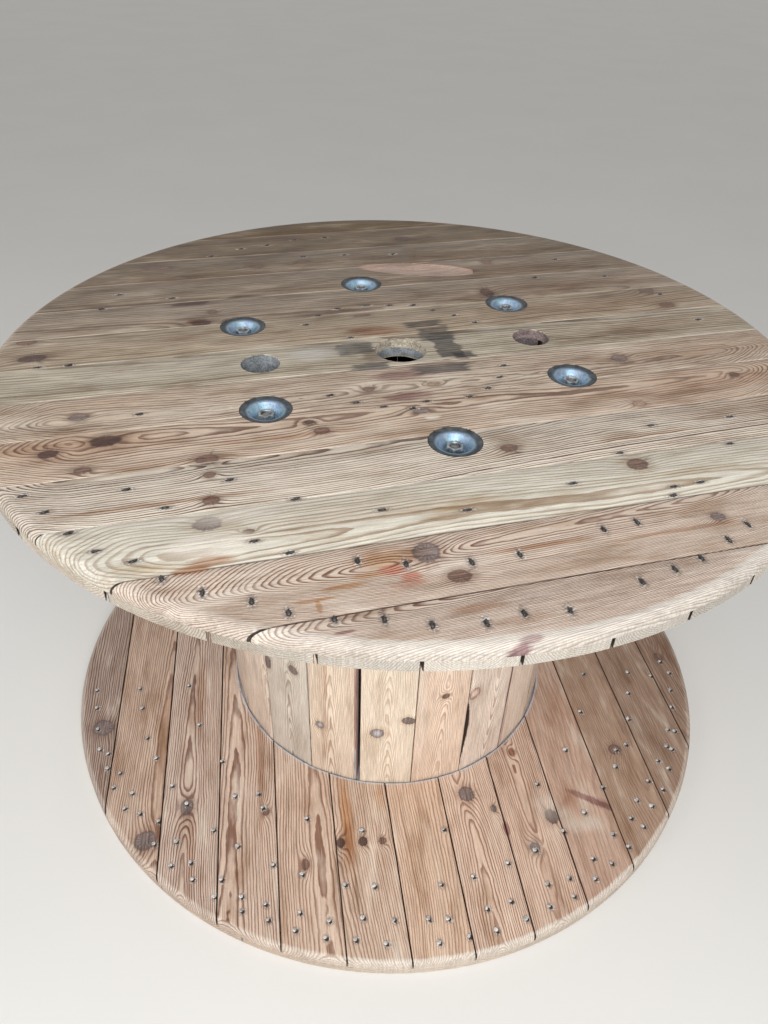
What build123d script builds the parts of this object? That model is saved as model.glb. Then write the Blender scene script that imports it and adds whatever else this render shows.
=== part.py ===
from build123d import *
import math
import os

# A wooden cable drum that stands on one of its flanges. Each flange is two layers of
# boards, crossed at right angles. The hollow core is a ring of upright staves, which
# stand in a round groove in each flange. Six tie rods inside the core pull the flanges
# together, with a dished washer and a nut sunk into the outer face at each end.
# All sizes are in mm. The origin is on the floor under the drum's axis, and +Z is up.

os.makedirs("parts", exist_ok=True)

# Flanges
flange_diameter = 1400.0
overall_height = 830.0
outer_layer = 18.0
inner_layer = 18.0
board_count = 13
edge_board_width = 90.9
outer_board_gap = 1.2
inner_board_gap = 2.2
board_edge_chamfer = 0.8
worn_rim_round = 15.0
lower_rim_round = 9.0
sawn_rim_chamfer = 2.0
crossing_angle = 90.0
lower_flange_turn = -6.8

# Holes through both flanges
spindle_hole_diameter = 90.0
drive_hole_diameter = 66.0
drive_hole_distance = 248.0

# Core
core_diameter = 704.0
stave_count = 21
stave_thickness = 22.0
stave_gap = 1.4
stave_joint_angle = -97.2
groove_depth = 8.0
groove_clearance = 2.0
shrunk_stave_number = 19
shrunk_edge_loss = 7.0
waney_stave_number = 1
wane_depth = 9.5
wane_low = 46.0
wane_high = 258.0

# Tie rods with their washers and nuts
rod_count = 6
rod_diameter = 16.0
rod_stave_clearance = 18.0
rod_hole_clearance = 1.0
rod_first_angle = 30.0
washer_diameter = 82.0
washer_bowl_diameter = 56.0
washer_seat_diameter = 33.0
washer_rim_sink = 0.6
washer_bowl_sink = 3.0
washer_seat_sink = 20.0
washer_sheet = 2.5
washer_hole_clearance = 0.8
washer_bed_clearance = 0.3
nut_width = 24.0
nut_height = 13.0
nut_corner_drop = 1.6
nut_corner_inset = 1.5
thread_clearance = 0.15
rod_end_sink = 4.0

flange_radius = flange_diameter / 2
flange_thickness = outer_layer + inner_layer
board_pitch = (flange_diameter - 2 * edge_board_width) / (board_count - 2)
underside_of_top = overall_height - flange_thickness
overcut = 5.0


def board_places():
    """The places of a layer's boards, in pitches from the drum's axis."""
    return [n - (board_count - 1) / 2 for n in range(board_count)]


def board_slab(place, low, thickness, gap, direction, face_up):
    """One straight board, wider than the flange, its edges eased on the face that shows."""
    width = board_pitch - gap
    slab = Box(2.2 * flange_radius, width, thickness, align=(Align.CENTER, Align.CENTER, Align.MIN))
    long_edges = slab.edges().filter_by(Axis.X).sort_by(Axis.Z)
    slab = chamfer(long_edges[-2:] if face_up else long_edges[:2], board_edge_chamfer)
    return Rot(0, 0, direction) * (Pos(0, place * board_pitch, low) * slab)


def layer_disc(low, thickness, rim_wear, face_up, worn_round):
    """The round outline of one layer, its rim worn on the face that shows."""
    disc = Pos(0, 0, low) * Cylinder(
        flange_radius, thickness, align=(Align.CENTER, Align.CENTER, Align.MIN)
    )
    rims = disc.edges().filter_by(GeomType.CIRCLE).sort_by(Axis.Z)
    rim = rims[-1] if face_up else rims[0]
    return fillet(rim, rim_wear) if worn_round else chamfer(rim, rim_wear)


def layer_boards(low, thickness, gap, direction, face_up, rim_wear, worn_round, cuts):
    """The boards of one layer, sawn to the round and bored."""
    disc = layer_disc(low, thickness, rim_wear, face_up, worn_round) - cuts
    boards = []
    for place in board_places():
        board = disc & board_slab(place, low, thickness, gap, direction, face_up)
        boards.append(board.solids()[0])
    return boards


def rod_places():
    """Where the tie rods stand, as (x, y)."""
    inner_face = stave_outer_distance() - stave_thickness
    radius = inner_face - rod_stave_clearance - rod_diameter / 2
    step = 2 * math.pi / rod_count
    first = math.radians(rod_first_angle)
    return [(radius * math.cos(first + n * step), radius * math.sin(first + n * step))
            for n in range(rod_count)]


def offset_chain(points, distance):
    """The same broken line, moved sideways by a distance, with mitred corners."""
    normals = []
    for (r0, d0), (r1, d1) in zip(points, points[1:]):
        length = math.hypot(r1 - r0, d1 - d0)
        normals.append(((d1 - d0) / length, -(r1 - r0) / length))
    moved = []
    for i, (r, d) in enumerate(points):
        before = normals[max(i - 1, 0)]
        after = normals[min(i, len(normals) - 1)]
        scale = distance / (1 + before[0] * after[0] + before[1] * after[1])
        moved.append((r + scale * (before[0] + after[0]), d + scale * (before[1] + after[1])))
    return moved


def washer_face():
    """The washer's visible face as (radius, depth under the flange's outer face)."""
    hole_radius = rod_diameter / 2 + washer_hole_clearance
    return [
        (washer_diameter / 2, washer_rim_sink),
        (washer_bowl_diameter / 2, washer_bowl_sink),
        (washer_seat_diameter / 2, washer_seat_sink),
        (hole_radius, washer_seat_sink),
    ]


def turned(points, face_height, inward):
    """A solid turned about Z from (radius, depth) points under an outer face."""
    outline = [(radius, 0, face_height + inward * depth) for radius, depth in points]
    return revolve(make_face(Polyline(outline, close=True)), Axis.Z)


def washer(face_height, inward):
    face = washer_face()
    return turned(face + offset_chain(face, washer_sheet)[::-1], face_height, inward)


def washer_bed(face_height, inward):
    """The hollow that a washer lies in, open at the flange's outer face."""
    bed = offset_chain(washer_face(), washer_sheet + washer_bed_clearance)
    rim_radius = bed[0][0] + washer_bed_clearance
    floor_depth = washer_seat_sink + washer_sheet + washer_bed_clearance
    points = [(0, -overcut), (rim_radius, -overcut), (rim_radius, bed[0][1])]
    return turned(points + bed[:3] + [(0, floor_depth)], face_height, inward)


def nut(face_height, inward):
    """A hexagon nut on its washer, its outer corners turned off."""
    half_width = nut_width / 2
    corner = half_width / math.cos(math.pi / 6)
    seat = face_height + inward * washer_seat_sink
    body = extrude(RegularPolygon(corner, 6), nut_height)
    outline = [
        (0, 0, 0),
        (corner, 0, 0),
        (corner, 0, nut_height - nut_corner_drop),
        (corner - nut_corner_inset, 0, nut_height),
        (0, 0, nut_height),
    ]
    body = body & revolve(make_face(Polyline(outline, close=True)), Axis.Z)
    body -= Cylinder(rod_diameter / 2 + thread_clearance, 3 * nut_height)
    if inward > 0:
        body = Rot(180, 0, 0) * body
    return Pos(0, 0, seat) * body


def upright(radius, low, high, x=0, y=0):
    """A round bar or hole along Z."""
    column = Cylinder(radius, high - low, align=(Align.CENTER, Align.CENTER, Align.MIN))
    return Pos(x, y, low) * column


def stave_outer_distance():
    """From the drum's axis to the middle of a stave's outer face."""
    return core_diameter / 2 * math.cos(math.pi / stave_count)


def groove(low, high):
    """The ring that the ends of the staves stand in."""
    outer = core_diameter / 2 + groove_clearance
    inner = stave_outer_distance() - stave_thickness - groove_clearance
    return upright(outer, low, high) - upright(inner, low - overcut, high + overcut)


def flange_cuts(face_height, inward):
    """Everything that is bored or routed out of one flange."""
    inner_face = face_height + inward * flange_thickness
    low = min(face_height, inner_face) - overcut
    high = max(face_height, inner_face) + overcut
    cuts = [upright(spindle_hole_diameter / 2, low, high)]
    for side in (-1, 1):
        cuts.append(upright(drive_hole_diameter / 2, low, high, side * drive_hole_distance))
    for x, y in rod_places():
        cuts.append(upright(rod_diameter / 2 + rod_hole_clearance, low, high, x, y))
        cuts.append(Pos(x, y, 0) * washer_bed(face_height, inward))
    floor = inner_face - inward * groove_depth
    mouth = inner_face + inward * overcut
    cuts.append(groove(min(floor, mouth), max(floor, mouth)))
    return cuts


def stave(number):
    """One upright plank of the core, its edges planed to point at the axis."""
    half_angle = math.pi / stave_count
    outer = stave_outer_distance()
    inner = outer - stave_thickness
    margin = stave_gap / 2 / math.cos(half_angle)
    loss = shrunk_edge_loss if number == shrunk_stave_number else 0
    low = flange_thickness - groove_depth
    high = overall_height - low
    outline = []
    for distance, side in ((inner, -1), (outer, -1), (outer, 1), (inner, 1)):
        half_width = distance * math.tan(half_angle) - margin
        if side > 0:
            half_width -= loss
        outline.append((distance, side * half_width, low))
    plank = extrude(make_face(Polyline(outline, close=True)), high - low)
    if number == waney_stave_number:
        plank -= wane(outer, outline[1][1])
    middle = stave_joint_angle + (number + 0.5) * 360 / stave_count
    return Rot(0, 0, middle) * plank


def wane(outer, edge):
    """The sapwood that is missing along one edge of a stave, as a cutter."""
    reach = wane_high - wane_low
    inside = outer - stave_thickness - overcut
    curve = Spline(
        (inside, edge - overcut, wane_low),
        (inside, edge + 0.35 * wane_depth, wane_low + 0.22 * reach),
        (inside, edge + wane_depth, wane_low + 0.68 * reach),
        (inside, edge + 0.8 * wane_depth, wane_low + 0.92 * reach),
        (inside, edge - overcut, wane_high),
    )
    face = make_face(curve + Line(curve @ 1, curve @ 0))
    return extrude(face, stave_thickness + 2 * overcut, dir=(1, 0, 0))


def write(name, solids):
    """One STEP file; pieces that share a file don't touch."""
    shape = solids[0] if len(solids) == 1 else Compound(children=solids)
    export_step(shape, f"parts/{name}.step")


def write_each(name, solids):
    for number, solid in enumerate(solids, start=1):
        write(f"{name}_{number:02d}", [solid])


top_cuts = flange_cuts(overall_height, -1)
bottom_cuts = flange_cuts(0, 1)

# The outer boards of the top flange run along X, and its inner boards along Y
write_each("top_outer_board", layer_boards(
    overall_height - outer_layer, outer_layer, outer_board_gap, 0,
    True, worn_rim_round, True, top_cuts))
write("top_inner_boards", layer_boards(
    underside_of_top, inner_layer, inner_board_gap, crossing_angle,
    False, sawn_rim_chamfer, False, top_cuts))

# The bottom flange stands turned a little against the top one
write_each("bottom_inner_board", layer_boards(
    outer_layer, inner_layer, inner_board_gap, crossing_angle + lower_flange_turn,
    True, lower_rim_round, True, bottom_cuts))
write("bottom_outer_boards", layer_boards(
    0, outer_layer, outer_board_gap, lower_flange_turn,
    False, sawn_rim_chamfer, False, bottom_cuts))

write_each("core_stave", [stave(number) for number in range(1, stave_count + 1)])

rod_low = washer_seat_sink - nut_height + rod_end_sink
rods = [upright(rod_diameter / 2, rod_low, overall_height - rod_low, x, y) for x, y in rod_places()]
write_each("tie_rod", rods)
write("top_washers", [Pos(x, y, 0) * washer(overall_height, -1) for x, y in rod_places()])
write("bottom_washers", [Pos(x, y, 0) * washer(0, 1) for x, y in rod_places()])
write("top_nuts", [Pos(x, y, 0) * nut(overall_height, -1) for x, y in rod_places()])
write("bottom_nuts", [Pos(x, y, 0) * nut(0, 1) for x, y in rod_places()])
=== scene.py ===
import math
import random

import bmesh
import bpy
from mathutils import Matrix, Vector, noise


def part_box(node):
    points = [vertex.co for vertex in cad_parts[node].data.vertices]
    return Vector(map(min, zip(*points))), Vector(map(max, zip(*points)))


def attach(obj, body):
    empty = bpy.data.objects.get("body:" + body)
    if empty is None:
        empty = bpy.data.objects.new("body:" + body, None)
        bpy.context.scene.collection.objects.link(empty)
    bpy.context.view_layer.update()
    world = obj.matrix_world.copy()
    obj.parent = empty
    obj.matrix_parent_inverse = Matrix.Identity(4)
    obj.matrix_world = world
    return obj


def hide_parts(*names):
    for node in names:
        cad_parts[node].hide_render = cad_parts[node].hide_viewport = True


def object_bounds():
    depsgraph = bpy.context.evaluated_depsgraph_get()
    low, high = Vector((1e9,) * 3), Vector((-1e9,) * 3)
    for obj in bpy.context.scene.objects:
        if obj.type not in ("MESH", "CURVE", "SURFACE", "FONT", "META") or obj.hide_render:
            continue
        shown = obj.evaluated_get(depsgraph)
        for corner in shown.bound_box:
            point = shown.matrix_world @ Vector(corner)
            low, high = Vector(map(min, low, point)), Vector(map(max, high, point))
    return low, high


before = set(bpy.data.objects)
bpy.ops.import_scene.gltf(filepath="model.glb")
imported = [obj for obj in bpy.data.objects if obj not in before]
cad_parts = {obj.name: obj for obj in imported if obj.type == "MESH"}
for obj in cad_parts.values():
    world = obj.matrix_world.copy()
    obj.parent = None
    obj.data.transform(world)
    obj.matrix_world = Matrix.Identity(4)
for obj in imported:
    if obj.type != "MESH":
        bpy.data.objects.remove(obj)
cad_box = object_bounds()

# A wooden cable drum on end. The sizes come from the frame, in metres. Places that were
# read off the photograph are in millimetres from the drum's axis, like the part's.
MM = 0.001

# Flanges
radius = cad_box[1].x
top_face = cad_box[1].z
top_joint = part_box("top_inner_boards")[1].z
top_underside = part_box("top_inner_boards")[0].z
bottom_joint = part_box("bottom_outer_boards")[1].z
bottom_upper_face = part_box("bottom_inner_board_07")[1].z
board_count = 13
middle_place = (board_count - 1) / 2
board_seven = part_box("top_outer_board_07")
board_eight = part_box("top_outer_board_08")
board_width = board_seven[1].y - board_seven[0].y
board_pitch = board_eight[0].y - board_seven[0].y
inner_gap = 2.2 * MM
top_inner_gap = 3.6 * MM
top_direction = 0.0
crossing = math.radians(90)
lower_turn = math.radians(-6.8)
top_rim_round = 15 * MM
lower_rim_round = 9 * MM
sawn_rim = 2 * MM

# Holes through both flanges
spindle_radius = 45 * MM
drive_radius = 33 * MM
drive_places = (-248 * MM, 248 * MM)

# Core
stave_count = 21
core_radius = 352 * MM
stave_thickness = 22 * MM
stave_gap = 1.4 * MM
stave_low, stave_high = (corner.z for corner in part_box("core_stave_01"))
first_joint = math.radians(-97.2)
groove_depth = 8 * MM
groove_clearance = 1.8 * MM

# Tie rods with their washers and nuts
rod_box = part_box("tie_rod_01")
rod_radius = (rod_box[1].x - rod_box[0].x) / 2
rod_low, rod_high = rod_box[0].z, rod_box[1].z
rod_places = []
for number in range(1, 7):
    low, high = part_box(f"tie_rod_{number:02d}")
    rod_places.append(((low + high) / 2).xy)


class Field:
    """A socket of a material's tree. An expression on fields adds the Math nodes for it."""

    def __init__(self, tree, socket=None):
        self.tree = tree
        self.socket = socket

    def node(self, kind, settings=None, sockets=None, output=0):
        """Adds any node: its settings first, then the values or links of its sockets."""
        made = self.tree.nodes.new(kind)
        for name, value in (settings or {}).items():
            setattr(made, name, value)
        for key, value in (sockets or {}).items():
            if isinstance(value, Field):
                self.tree.links.new(value.socket, made.inputs[key])
            else:
                made.inputs[key].default_value = value
        return Field(self.tree, made.outputs[output])

    def math(self, operation, *others):
        sockets = dict(enumerate((self, *others)))
        return self.node("ShaderNodeMath", {"operation": operation}, sockets)

    def vector_math(self, operation, *others, output=0):
        sockets = dict(enumerate((self, *others)))
        return self.node("ShaderNodeVectorMath", {"operation": operation}, sockets, output)

    def __add__(self, other):
        return self.math("ADD", other)

    __radd__ = __add__

    def __mul__(self, other):
        return self.math("MULTIPLY", other)

    __rmul__ = __mul__

    def __sub__(self, other):
        return self.math("SUBTRACT", other)

    def __rsub__(self, other):
        return self.node("ShaderNodeMath", {"operation": "SUBTRACT"}, {0: other, 1: self})

    def __truediv__(self, other):
        return self.math("DIVIDE", other)

    def __abs__(self):
        return self.math("ABSOLUTE")

    def parts(self):
        """The three numbers of a vector."""
        separate = self.node("ShaderNodeSeparateXYZ", None, {0: self}).socket.node
        return [Field(self.tree, output) for output in separate.outputs]

    def step(self, start, end):
        """Rises smoothly from 0 at start to 1 at end; start may be the higher of the two."""
        sockets = {0: self, 1: start, 2: end, 3: 0.0, 4: 1.0}
        return self.node("ShaderNodeMapRange", {"interpolation_type": "SMOOTHSTEP"}, sockets)

    def noise(self, scale, detail=1.0, roughness=0.5, output=0):
        """Noise over a vector that is already in the noise's own unit, apart from scale."""
        sockets = {"Vector": self, "Scale": scale, "Detail": detail, "Roughness": roughness}
        return self.node("ShaderNodeTexNoise", None, sockets, output)

    def swing(self, size):
        """A noise from 0 to 1 as a swing of some size round zero."""
        return (self - 0.5) * size

    def scaled(self, factors, offset=(0, 0, 0)):
        """A vector times three factors, plus an offset."""
        return self.vector_math("MULTIPLY_ADD", factors, offset)

    def length(self):
        return self.vector_math("LENGTH", output=1)


def mix_colour(share, colour_a, colour_b, how="MIX"):
    settings = {"data_type": "RGBA", "blend_type": how}
    sockets = {0: share, 6: rgba(colour_a), 7: rgba(colour_b)}
    return share.node("ShaderNodeMix", settings, sockets, 2)


def rgba(colour):
    return colour if isinstance(colour, Field) else (*colour, 1.0)


def scaled_rgb(colour, factor):
    return tuple(min(1.0, channel * factor) for channel in colour)


def new_material(name):
    """A material with only its shader, and a field to start its tree from."""
    material = bpy.data.materials.new(name)
    material.use_nodes = True
    tree = material.node_tree
    return material, tree.nodes["Principled BSDF"], Field(tree)


def place_field(start):
    return start.node("ShaderNodeTexCoord", None, None, 3)


def finish_material(shader, colour, roughness, bump=None, bump_depth=0.0, metallic=0.0):
    """Puts fields or plain values on a shader's sockets."""
    tree = shader.id_data
    for name, value in (("Base Color", colour), ("Roughness", roughness), ("Metallic", metallic)):
        if isinstance(value, Field):
            tree.links.new(value.socket, shader.inputs[name])
        else:
            shader.inputs[name].default_value = value
    if bump is not None:
        sockets = {"Height": bump, "Distance": bump_depth, "Strength": 1.0}
        tree.links.new(bump.node("ShaderNodeBump", None, sockets).socket, shader.inputs["Normal"])


class Board:
    """Where a board lies: its own axes run along it, across it and up out of its face."""

    def __init__(self, origin, along, across, out, width, seed):
        self.origin = Vector(origin)
        self.axes = Matrix((along, across, out)).transposed()
        self.width = width
        self.seed = seed
        self.draw = random.Random(seed)

    def own(self, point):
        """A point of the part as millimetres along, across and out of the board."""
        return (self.axes.inverted() @ (Vector(point) - self.origin)) / MM

    def field(self, start):
        """The board's own millimetres, from the object's coordinates."""
        sockets = {
            "Vector": place_field(start),
            "Location": self.origin,
            "Rotation": self.axes.to_euler(),
            "Scale": (MM, MM, MM),
        }
        return start.node("ShaderNodeMapping", {"vector_type": "TEXTURE"}, sockets)


# Knots, by the colour of the heart
DARK = (0.075, 0.042, 0.036)
BROWN = (0.16, 0.092, 0.068)
GREY = (0.180, 0.138, 0.128)
ASH = (0.27, 0.24, 0.24)
PALE = (0.46, 0.32, 0.26)
RED = (0.28, 0.115, 0.065)
TAN = (0.30, 0.205, 0.140)

# Marks on the wood: how the stain is mixed in, and its colour
SOOT = ("MULTIPLY", (0.20, 0.21, 0.24))
BURN = ("MULTIPLY", (0.42, 0.36, 0.33))
RUST = ("MULTIPLY", (0.66, 0.41, 0.30))
REDDENED = ("MULTIPLY", (0.84, 0.43, 0.36))
BROWNED = ("MULTIPLY", (0.60, 0.40, 0.27))
PLUM = ("MULTIPLY", (0.44, 0.29, 0.33))
ORANGE = ("MULTIPLY", (0.74, 0.50, 0.29))
BLEACHED = ("MIX", (0.66, 0.60, 0.52))
DUSTY = ("MIX", (0.42, 0.41, 0.40))


def from_spot(own, along, across, half_length, half_width):
    """The way from the middle of an oval to a place, in sizes of the oval."""
    factors = (1 / half_length, 1 / half_width, 0)
    return own.scaled(factors, (-along / half_length, -across / half_width, 0))


def nearest(own, spots):
    """How far the nearest of some ovals is, as a multiple of its own size."""
    found = None
    for spot in spots:
        away = from_spot(own, *spot).length()
        found = away if found is None else found.math("MINIMUM", away)
    return found


def sheared(own, along, slant):
    """A board's own place, moved aside the more the farther it is along the board."""
    at_along, at_across, _ = own.parts()
    moved = at_across - (at_along - along) * slant
    return own.node("ShaderNodeCombineXYZ", None, {0: at_along, 1: moved})


def box_reach(own, along, across, half_length, half_width):
    """How far out of a rectangle's middle a place is, as a multiple of the rectangle."""
    at_along, at_across, _ = own.parts()
    far_along = abs(at_along - along) / half_length
    far_across = abs(at_across - across) / half_width
    return far_along.math("MAXIMUM", far_across)


def knotted(colour, own, knots, brown, ripple, fibre):
    """Lays knots into a colour: a brown halo with dark veins, and a rayed heart with a dark edge."""
    for number, (along, across, half_length, half_width, kind) in enumerate(knots):
        heart = from_spot(own, along, across, half_length, half_width)
        round_heart = heart.vector_math("NORMALIZE").scaled((1, 1, 1), (number * 3.1, number * 1.7, 0))
        rays = round_heart.noise(3.0, 3.0, 0.7)
        uneven = heart.length() + rays.swing(0.45) + ripple.swing(0.5) + fibre.swing(0.3)
        dark = scaled_rgb(kind, 0.42)
        halo = (uneven + rays.swing(1.0)).step(2.1, 0.9) * 0.4
        colour = mix_colour(halo, colour, brown)
        if kind in (DARK, BROWN):
            veins = rays.step(0.57, 0.63) * uneven.step(2.7, 1.1) * 0.6
            colour = mix_colour(veins, colour, dark)
        tone = rays.swing(2.0) + fibre.swing(1.2) + 0.5
        heart_colour = mix_colour(tone.step(0.0, 1.0), dark, scaled_rgb(kind, 1.6))
        frayed = uneven + rays.swing(0.3)
        colour = mix_colour(frayed.step(1.12, 0.84) * 0.92, colour, heart_colour)
        if kind in (ASH, PALE):
            colour = mix_colour(uneven.step(0.62, 0.30) * 0.6, colour, scaled_rgb(kind, 2.2))
        edge = (1 - abs(frayed - 0.95) * 6).math("MAXIMUM", 0.0) * rays.step(0.38, 0.56)
        colour = mix_colour(edge * 0.65, colour, (0.060, 0.040, 0.036))
    return colour


def marked(colour, own, marks, blotch, fibre, ripple):
    """Lays stains, burns and worn places into a colour."""
    for along, across, half_length, half_width, (how, stain), power, softness, *slant in marks:
        level = sheared(own, along, slant[0]) if slant else own
        if half_width < 0:
            reach = box_reach(level, along, across, half_length, -half_width)
        else:
            reach = from_spot(level, along, across, half_length, half_width).length()
        uneven = blotch.swing(0.9) + fibre.swing(0.9) + ripple.swing(0.8)
        mask = (reach + uneven).step(1 + softness, 1 - softness)
        patchy = (fibre * 0.6 + ripple * 0.9).step(0.25, 0.95) * 0.55 + 0.45
        colour = mix_colour(mask * patchy * power, colour, stain, how)
    return colour


def pierced(colour, own, spots, fleck, fibre):
    """Lays the bruise, the dark pit and the pale splinters of driven nails into a colour. Where the spots
    are shifted off the nails, the dark pit is also a painted shadow beside the head.
    """
    away = nearest(own, spots)
    torn = away + fleck.swing(1.4)
    colour = mix_colour(torn.step(2.4, 0.9) * 0.55, colour, (0.17, 0.125, 0.10))
    splinter = away.step(2.1, 1.5) * away.step(0.6, 1.0) * (fleck * 0.6 + fibre * 0.4).step(0.53, 0.60)
    colour = mix_colour(splinter * 0.8, colour, (0.60, 0.58, 0.55))
    return mix_colour(torn.step(1.0, 0.65) * 0.95, colour, (0.022, 0.018, 0.017))


def worn_rim(colour, look, place, from_axis, late, blotch, fibre):
    """The rim is rubbed pale, and its end grain shows as ticks. Painted light and shade lie over the wear:
    the rim is paler at the front and darker at the sides and at the left.
    """
    x, y, _ = place.parts()
    side_power = look["rim_side_power"]
    # Painted light: the pale rim is strongest at the front, and weaker at the sides and the left as painted
    # shade.
    painted_light_at_front = (y * -1).step(380, 640) * x.step(-480, -150)
    power = painted_light_at_front * (0.85 - side_power) + side_power
    worn = (from_axis + blotch.swing(7) + fibre.swing(5)).step(look["rim_from"], look["rim_full"])
    ticks = place.scaled((1 / 2.6, 1 / 2.6, 1 / 80)).noise(1.0, 2.0, 0.6)
    pale = mix_colour(late * 0.62, look["rim"], look["rim_late"])
    pale = mix_colour(from_axis.step(695, 699) * ticks.step(0.62, 0.35) * 0.5, pale, (0.36, 0.31, 0.26))
    return mix_colour(worn * power, colour, pale)


# What a board's look falls back on
plain_look = {
    "wander": 44, "ripple": 4.0, "contrast": 0.85, "fibre": 2.0, "patch": 0.7, "mottle": 0.4,
    "patch_dark": (0.66, 0.54, 0.44), "patch_pale": (0.66, 0.59, 0.50), "nail_pit_shadow_shift": (0.0, 0.0),
    "joint": 0.6, "joint_width": 2.0, "joint_colour": (0.10, 0.065, 0.045), "bores": (),
    # joint_deep is painted shade: the near-black colour of a joint's sides deep in the gap.
    "joint_deep": (0.028, 0.020, 0.016), "roughness": 0.58,
}


def pine(name, board, look, knots=(), marks=(), nails=(), layer=False):
    """Flat-sawn pine: yearly rings round a wandering pith, bent round the knots.

    The knots are (along, across, half length, half width, kind) on the board's own face.
    The marks are (along, across, half length, half width, kind, strength, softness) and, where
    they lie aslant, the slant. A layer is many boards in one piece, each with rings of its own.
    """
    material, shader, start = new_material(name)
    look = {**plain_look, **look}
    own = board.field(start)
    along, across, out = own.parts()
    depth = out * -1
    half = board.width / 2 / MM
    draw = board.draw
    shift = tuple(draw.uniform(-50, 50) for _ in range(3))
    pith_across = look.get("pith_across", draw.choice((-1, 1)) * draw.uniform(40, 80))
    pith_depth = look.get("pith_depth", draw.uniform(12, 40))
    ring_width = look.get("ring_width", draw.uniform(3.6, 4.6))
    taper = look.get("taper", draw.choice((-1, 1)) * draw.uniform(0.015, 0.035))
    if layer:
        pitch = board_pitch / MM
        number = (across / pitch).math("ROUND")
        across = across - number * pitch
        dice = {"W": number + 31.0 * board.seed}
        chance = start.node("ShaderNodeTexWhiteNoise", {"noise_dimensions": "1D"}, dice, 1)
        first, second, tint = chance.parts()
        pith_across = (first - 0.5) * 90
        along = along + second * 900
        apart = across + number * pitch * 3
        own = start.node("ShaderNodeCombineXYZ", None, {0: along, 1: apart, 2: out})

    def grain(length, width, detail, rough=0.5, output=0):
        """Noise that is drawn out along the board."""
        return own.scaled((1 / length, 1 / width, 1 / width), shift).noise(1.0, detail, rough, output)

    # Yearly rings: distance from the pith, which wanders and is pushed aside by knots
    wander_a, wander_b, wander_c = grain(460, 300, 1.0, output=1).parts()
    ripple = grain(42, 17, 2.0)
    side = across - pith_across + wander_a.swing(look["wander"])
    if "pith_slant" in look:
        side = side - (along + 650) * look["pith_slant"]
    deep = out + pith_depth + wander_b.swing(20)
    from_pith = (side * side + deep * deep).math("SQRT") + along * taper + ripple.swing(look["ripple"])
    for knot in knots:
        heart = from_spot(own, *knot[:4]).scaled((0.5, 0.8, 0))
        swell = (heart.length().math("POWER", 2.0) * -0.8).math("EXPONENT")
        from_pith = from_pith + swell * 11.0
    place = place_field(start).scaled((1 / MM, 1 / MM, 1 / MM))
    from_middle = place.parts()[0]
    from_axis = place.scaled((1, 1, 0)).length()
    if "bend_from" in look:
        past = (from_axis - look["bend_from"]).math("MAXIMUM", 0.0)
        from_pith = from_pith + past * past / (past + 30) * 0.62
    along_years = {"W": from_pith, "Scale": 1 / 14, "Detail": 1.0}
    years = start.node("ShaderNodeTexNoise", {"noise_dimensions": "1D"}, along_years)
    in_ring = (from_pith / ring_width + years * 1.3).math("FRACT")
    late = in_ring.step(0.40, 0.80) * in_ring.step(1.0, 0.92)
    strength = years.step(0.25, 0.7) * 0.35 + wander_c.step(0.35, 0.65) * 0.20 + 0.55

    # Fibres, open pores, patches of wear and pale scratches
    fibre = grain(52, look["fibre"], 3.0, 0.65)
    fleck = grain(3.2, 2.2, 2.0, 0.6)
    blotch = grain(150, 38, 3.0, 0.6)
    scratch = grain(70, 0.9, 0.0).step(0.69, 0.78)
    colour = mix_colour(late * (strength * look["contrast"]), look["early"], look["late"])
    patch = look["patch"]
    colour = mix_colour(blotch.step(0.50, 0.28) * patch, colour, look["patch_dark"], "MULTIPLY")
    colour = mix_colour(blotch.step(0.54, 0.74) * patch * 0.6, colour, look["patch_pale"])
    colour = mix_colour(scratch * 0.28, colour, (0.74, 0.70, 0.63))
    colour = knotted(colour, own, knots, look["late"], ripple, fibre)

    # Dirt or dust lies in the joints, and the rim is worn and painted lighter at the front
    near_joint = abs(across).step(half - look["joint_width"], half - 0.4)
    joint_colour = look["joint_colour"]
    if "upper_joint" in look:
        joint_colour = mix_colour(across.step(-1, 1), joint_colour, look["upper_joint"])
    colour = mix_colour(near_joint * blotch.step(0.2, 0.6) * look["joint"], colour, joint_colour)
    if "rim" in look:
        colour = worn_rim(colour, look, place, from_axis, late, blotch, fibre)
    colour = marked(colour, own, marks, blotch, fibre, ripple)
    if nails:
        # A shifted pit lies beside its nail, and is then a painted shadow as well as the pit.
        shift_along, shift_across = look["nail_pit_shadow_shift"]
        spots = [(x + shift_along, y + shift_across, *look["nail_spot"]) for x, y in nails]
        colour = pierced(colour, own, spots, fleck, fibre)
    if "groove_dust" in look:
        dust = from_axis.step(358.6, 356.4) * fleck.step(0.3, 0.5) * 0.8
        colour = mix_colour(dust, colour, look["groove_dust"])

    # The walls of the bores from a place along X on, the joints' sides, and what lies deep. Deep in the
    # joints and inside the core the dark colours are painted shade; the bore walls are dusty and darkened as
    # painted shade
    in_bore = depth.step(0.8, 2.6) * from_axis.step(672, 660)
    for from_x, bore in look["bores"]:
        dusty = fleck.step(0.35, 0.65) * 0.5 + ripple.step(0.35, 0.65) * 0.5
        wall = mix_colour(dusty, scaled_rgb(bore, 0.65), scaled_rgb(bore, 1.9))
        onwards = from_middle.step(from_x - 1, from_x + 1)
        colour = mix_colour(in_bore * onwards * 0.9, colour, wall)
    in_joint = abs(across).step(half - 0.75, half - 0.5) * depth.step(0.7, 2.2)
    colour = mix_colour(in_joint * 0.93, colour, look["joint_deep"])
    if "hollow" in look:
        colour = mix_colour(depth.step(0.45, 1.0) * depth.step(17, 12) * 0.6, colour, look["hollow"])
    if "inside" in look:
        colour = mix_colour(depth.step(1.2, 3.0), colour, look["inside"])

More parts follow.
